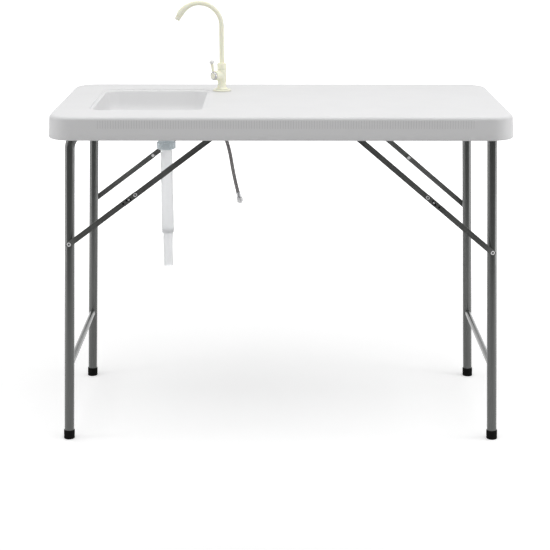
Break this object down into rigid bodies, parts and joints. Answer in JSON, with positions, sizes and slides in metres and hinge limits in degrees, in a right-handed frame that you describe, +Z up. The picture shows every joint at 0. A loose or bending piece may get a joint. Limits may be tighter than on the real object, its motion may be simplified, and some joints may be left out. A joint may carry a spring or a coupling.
{
  "type": "folding sink table",
  "caption": "White moulded folding table with a basin at one end, a swan-neck tap and a drain pipe, on splayed tube legs held by hinged stays.",
  "frame": {"origin": "on the floor under the middle of the top", "axes": "+X along the top away from the basin, +Y towards the back where the tap is, +Z up"},
  "size_m": [1.149, 0.603, 1.0928],
  "materials": {
    "top_plastic": "moulded, fine satin texture",
    "leg_paint": "grey powder coat, satin",
    "stay_steel": "dark grey powder coat, satin",
    "rivet_steel": "bright zinc plate",
    "foot_rubber": "matt black",
    "bush_plastic": "black",
    "tap_plastic": "ivory, glossy",
    "knob_plastic": "pale grey, glossy",
    "bright_metal": "chrome plate",
    "nut_plastic": "pale blue, slightly see-through",
    "pipe_plastic": "milky white",
    "hose_braid": "woven steel wire",
    "gasket_rubber": "matt black"
  },
  "bodies": {
    "table": {"tabletop": "top_plastic", "rail_front": "stay_steel", "rail_back": "stay_steel", "left_front_bush": "bush_plastic", "left_front_anchor_rivet": "rivet_steel", "left_back_bush": "bush_plastic", "left_back_anchor_rivet": "rivet_steel", "right_front_bush": "bush_plastic", "right_front_anchor_rivet": "rivet_steel", "right_back_bush": "bush_plastic", "right_back_anchor_rivet": "rivet_steel", "drain_body": "pipe_plastic", "drain_strainer": "bright_metal", "drain_gasket": "gasket_rubber", "drain_nut": "nut_plastic", "drain_pipe_upper": "pipe_plastic", "tap_base": "tap_plastic", "tap_gasket": "gasket_rubber", "tap_body": "tap_plastic", "tap_shank": "bright_metal", "shank_washer": "gasket_rubber", "shank_locknut": "rivet_steel", "spout_collar": "tap_plastic", "hose_nut": "rivet_steel", "hose_top_ferrule": "bright_metal", "supply_hose": "hose_braid", "hose_end_ferrule": "bright_metal", "hose_connector": "rivet_steel"},
    "left_legs": {"left_pivot_bar": "leg_paint", "left_crossbar": "leg_paint", "left_front_leg": "leg_paint", "left_front_foot": "foot_rubber", "left_front_leg_rivet": "rivet_steel", "left_back_leg": "leg_paint", "left_back_foot": "foot_rubber", "left_back_leg_rivet": "rivet_steel"},
    "left_front_upper": {"left_front_upper_stay": "stay_steel"},
    "left_front_lower": {"left_front_lower_stay": "stay_steel"},
    "left_back_upper": {"left_back_upper_stay": "stay_steel"},
    "left_back_lower": {"left_back_lower_stay": "stay_steel"},
    "right_legs": {"right_pivot_bar": "leg_paint", "right_crossbar": "leg_paint", "right_front_leg": "leg_paint", "right_front_foot": "foot_rubber", "right_front_leg_rivet": "rivet_steel", "right_back_leg": "leg_paint", "right_back_foot": "foot_rubber", "right_back_leg_rivet": "rivet_steel"},
    "right_front_upper": {"right_front_upper_stay": "stay_steel"},
    "right_front_lower": {"right_front_lower_stay": "stay_steel"},
    "right_back_upper": {"right_back_upper_stay": "stay_steel"},
    "right_back_lower": {"right_back_lower_stay": "stay_steel"},
    "drain_tube": {"drain_pipe_lower": "pipe_plastic"},
    "lever": {"lever_hub": "bright_metal", "lever_arm": "tap_plastic", "lever_knob": "knob_plastic"},
    "spout": {"spout": "tap_plastic", "aerator": "tap_plastic"}
  },
  "joints": [
    {"name": "left_leg_fold", "type": "hinge", "parent": "table", "child": "left_legs", "pos_m": [-0.4917, 0, 0.8152], "axis": [0, -1, 0], "range_deg": [0, 92.17]},
    {"name": "left_front_upper_stay_turn", "type": "hinge", "parent": "table", "child": "left_front_upper", "pos_m": [-0.1599, 0, 0.8027], "axis": [0, -1, 0], "range_deg": [-33.43, 0]},
    {"name": "left_front_lower_stay_turn", "type": "hinge", "parent": "left_legs", "child": "left_front_lower", "pos_m": [-0.53108, 0, 0.52318], "axis": [0, -1, 0], "range_deg": [0, 50.9]},
    {"name": "left_back_upper_stay_turn", "type": "hinge", "parent": "table", "child": "left_back_upper", "pos_m": [-0.1599, 0, 0.8027], "axis": [0, -1, 0], "range_deg": [-33.43, 0]},
    {"name": "left_back_lower_stay_turn", "type": "hinge", "parent": "left_legs", "child": "left_back_lower", "pos_m": [-0.53108, 0, 0.52318], "axis": [0, -1, 0], "range_deg": [0, 50.9]},
    {"name": "right_leg_fold", "type": "hinge", "parent": "table", "child": "right_legs", "pos_m": [0.52, 0, 0.8152], "axis": [0, 1, 0], "range_deg": [0, 92.17]},
    {"name": "right_front_upper_stay_turn", "type": "hinge", "parent": "table", "child": "right_front_upper", "pos_m": [0.1637, 0, 0.8152], "axis": [0, 1, 0], "range_deg": [-40.4, 0]},
    {"name": "right_front_lower_stay_turn", "type": "hinge", "parent": "right_legs", "child": "right_front_lower", "pos_m": [0.53185, 0, 0.50242], "axis": [0, 1, 0], "range_deg": [0, 47.53]},
    {"name": "right_back_upper_stay_turn", "type": "hinge", "parent": "table", "child": "right_back_upper", "pos_m": [0.1637, 0, 0.8152], "axis": [0, 1, 0], "range_deg": [-40.4, 0]},
    {"name": "right_back_lower_stay_turn", "type": "hinge", "parent": "right_legs", "child": "right_back_lower", "pos_m": [0.53185, 0, 0.50242], "axis": [0, 1, 0], "range_deg": [0, 47.53]},
    {"name": "drain_tube_slide", "type": "slide", "parent": "table", "child": "drain_tube", "axis": [0, 0, 1], "range_m": [0, 0.08]},
    {"name": "lever_turn", "type": "hinge", "parent": "table", "child": "lever", "pos_m": [-0.1594, 0.155, 0.8935], "axis": [-0.7071, -0.7071, 0], "range_deg": [0, 90]},
    {"name": "spout_swivel", "type": "hinge", "parent": "table", "child": "spout", "pos_m": [-0.1594, 0.155, 0.9], "axis": [0, 0, 1], "range_deg": [-90, 90]}
  ],
  "couplings": [
    {"joint": "left_front_upper_stay_turn", "follows": "left_leg_fold", "ratio": -0.3622},
    {"joint": "left_front_lower_stay_turn", "follows": "left_leg_fold", "ratio": 0.55168},
    {"joint": "left_back_upper_stay_turn", "follows": "left_leg_fold", "ratio": -0.3622},
    {"joint": "left_back_lower_stay_turn", "follows": "left_leg_fold", "ratio": 0.55168},
    {"joint": "right_front_upper_stay_turn", "follows": "right_leg_fold", "ratio": -0.43778},
    {"joint": "right_front_lower_stay_turn", "follows": "right_leg_fold", "ratio": 0.51513},
    {"joint": "right_back_upper_stay_turn", "follows": "right_leg_fold", "ratio": -0.43778},
    {"joint": "right_back_lower_stay_turn", "follows": "right_leg_fold", "ratio": 0.51513}
  ]
}
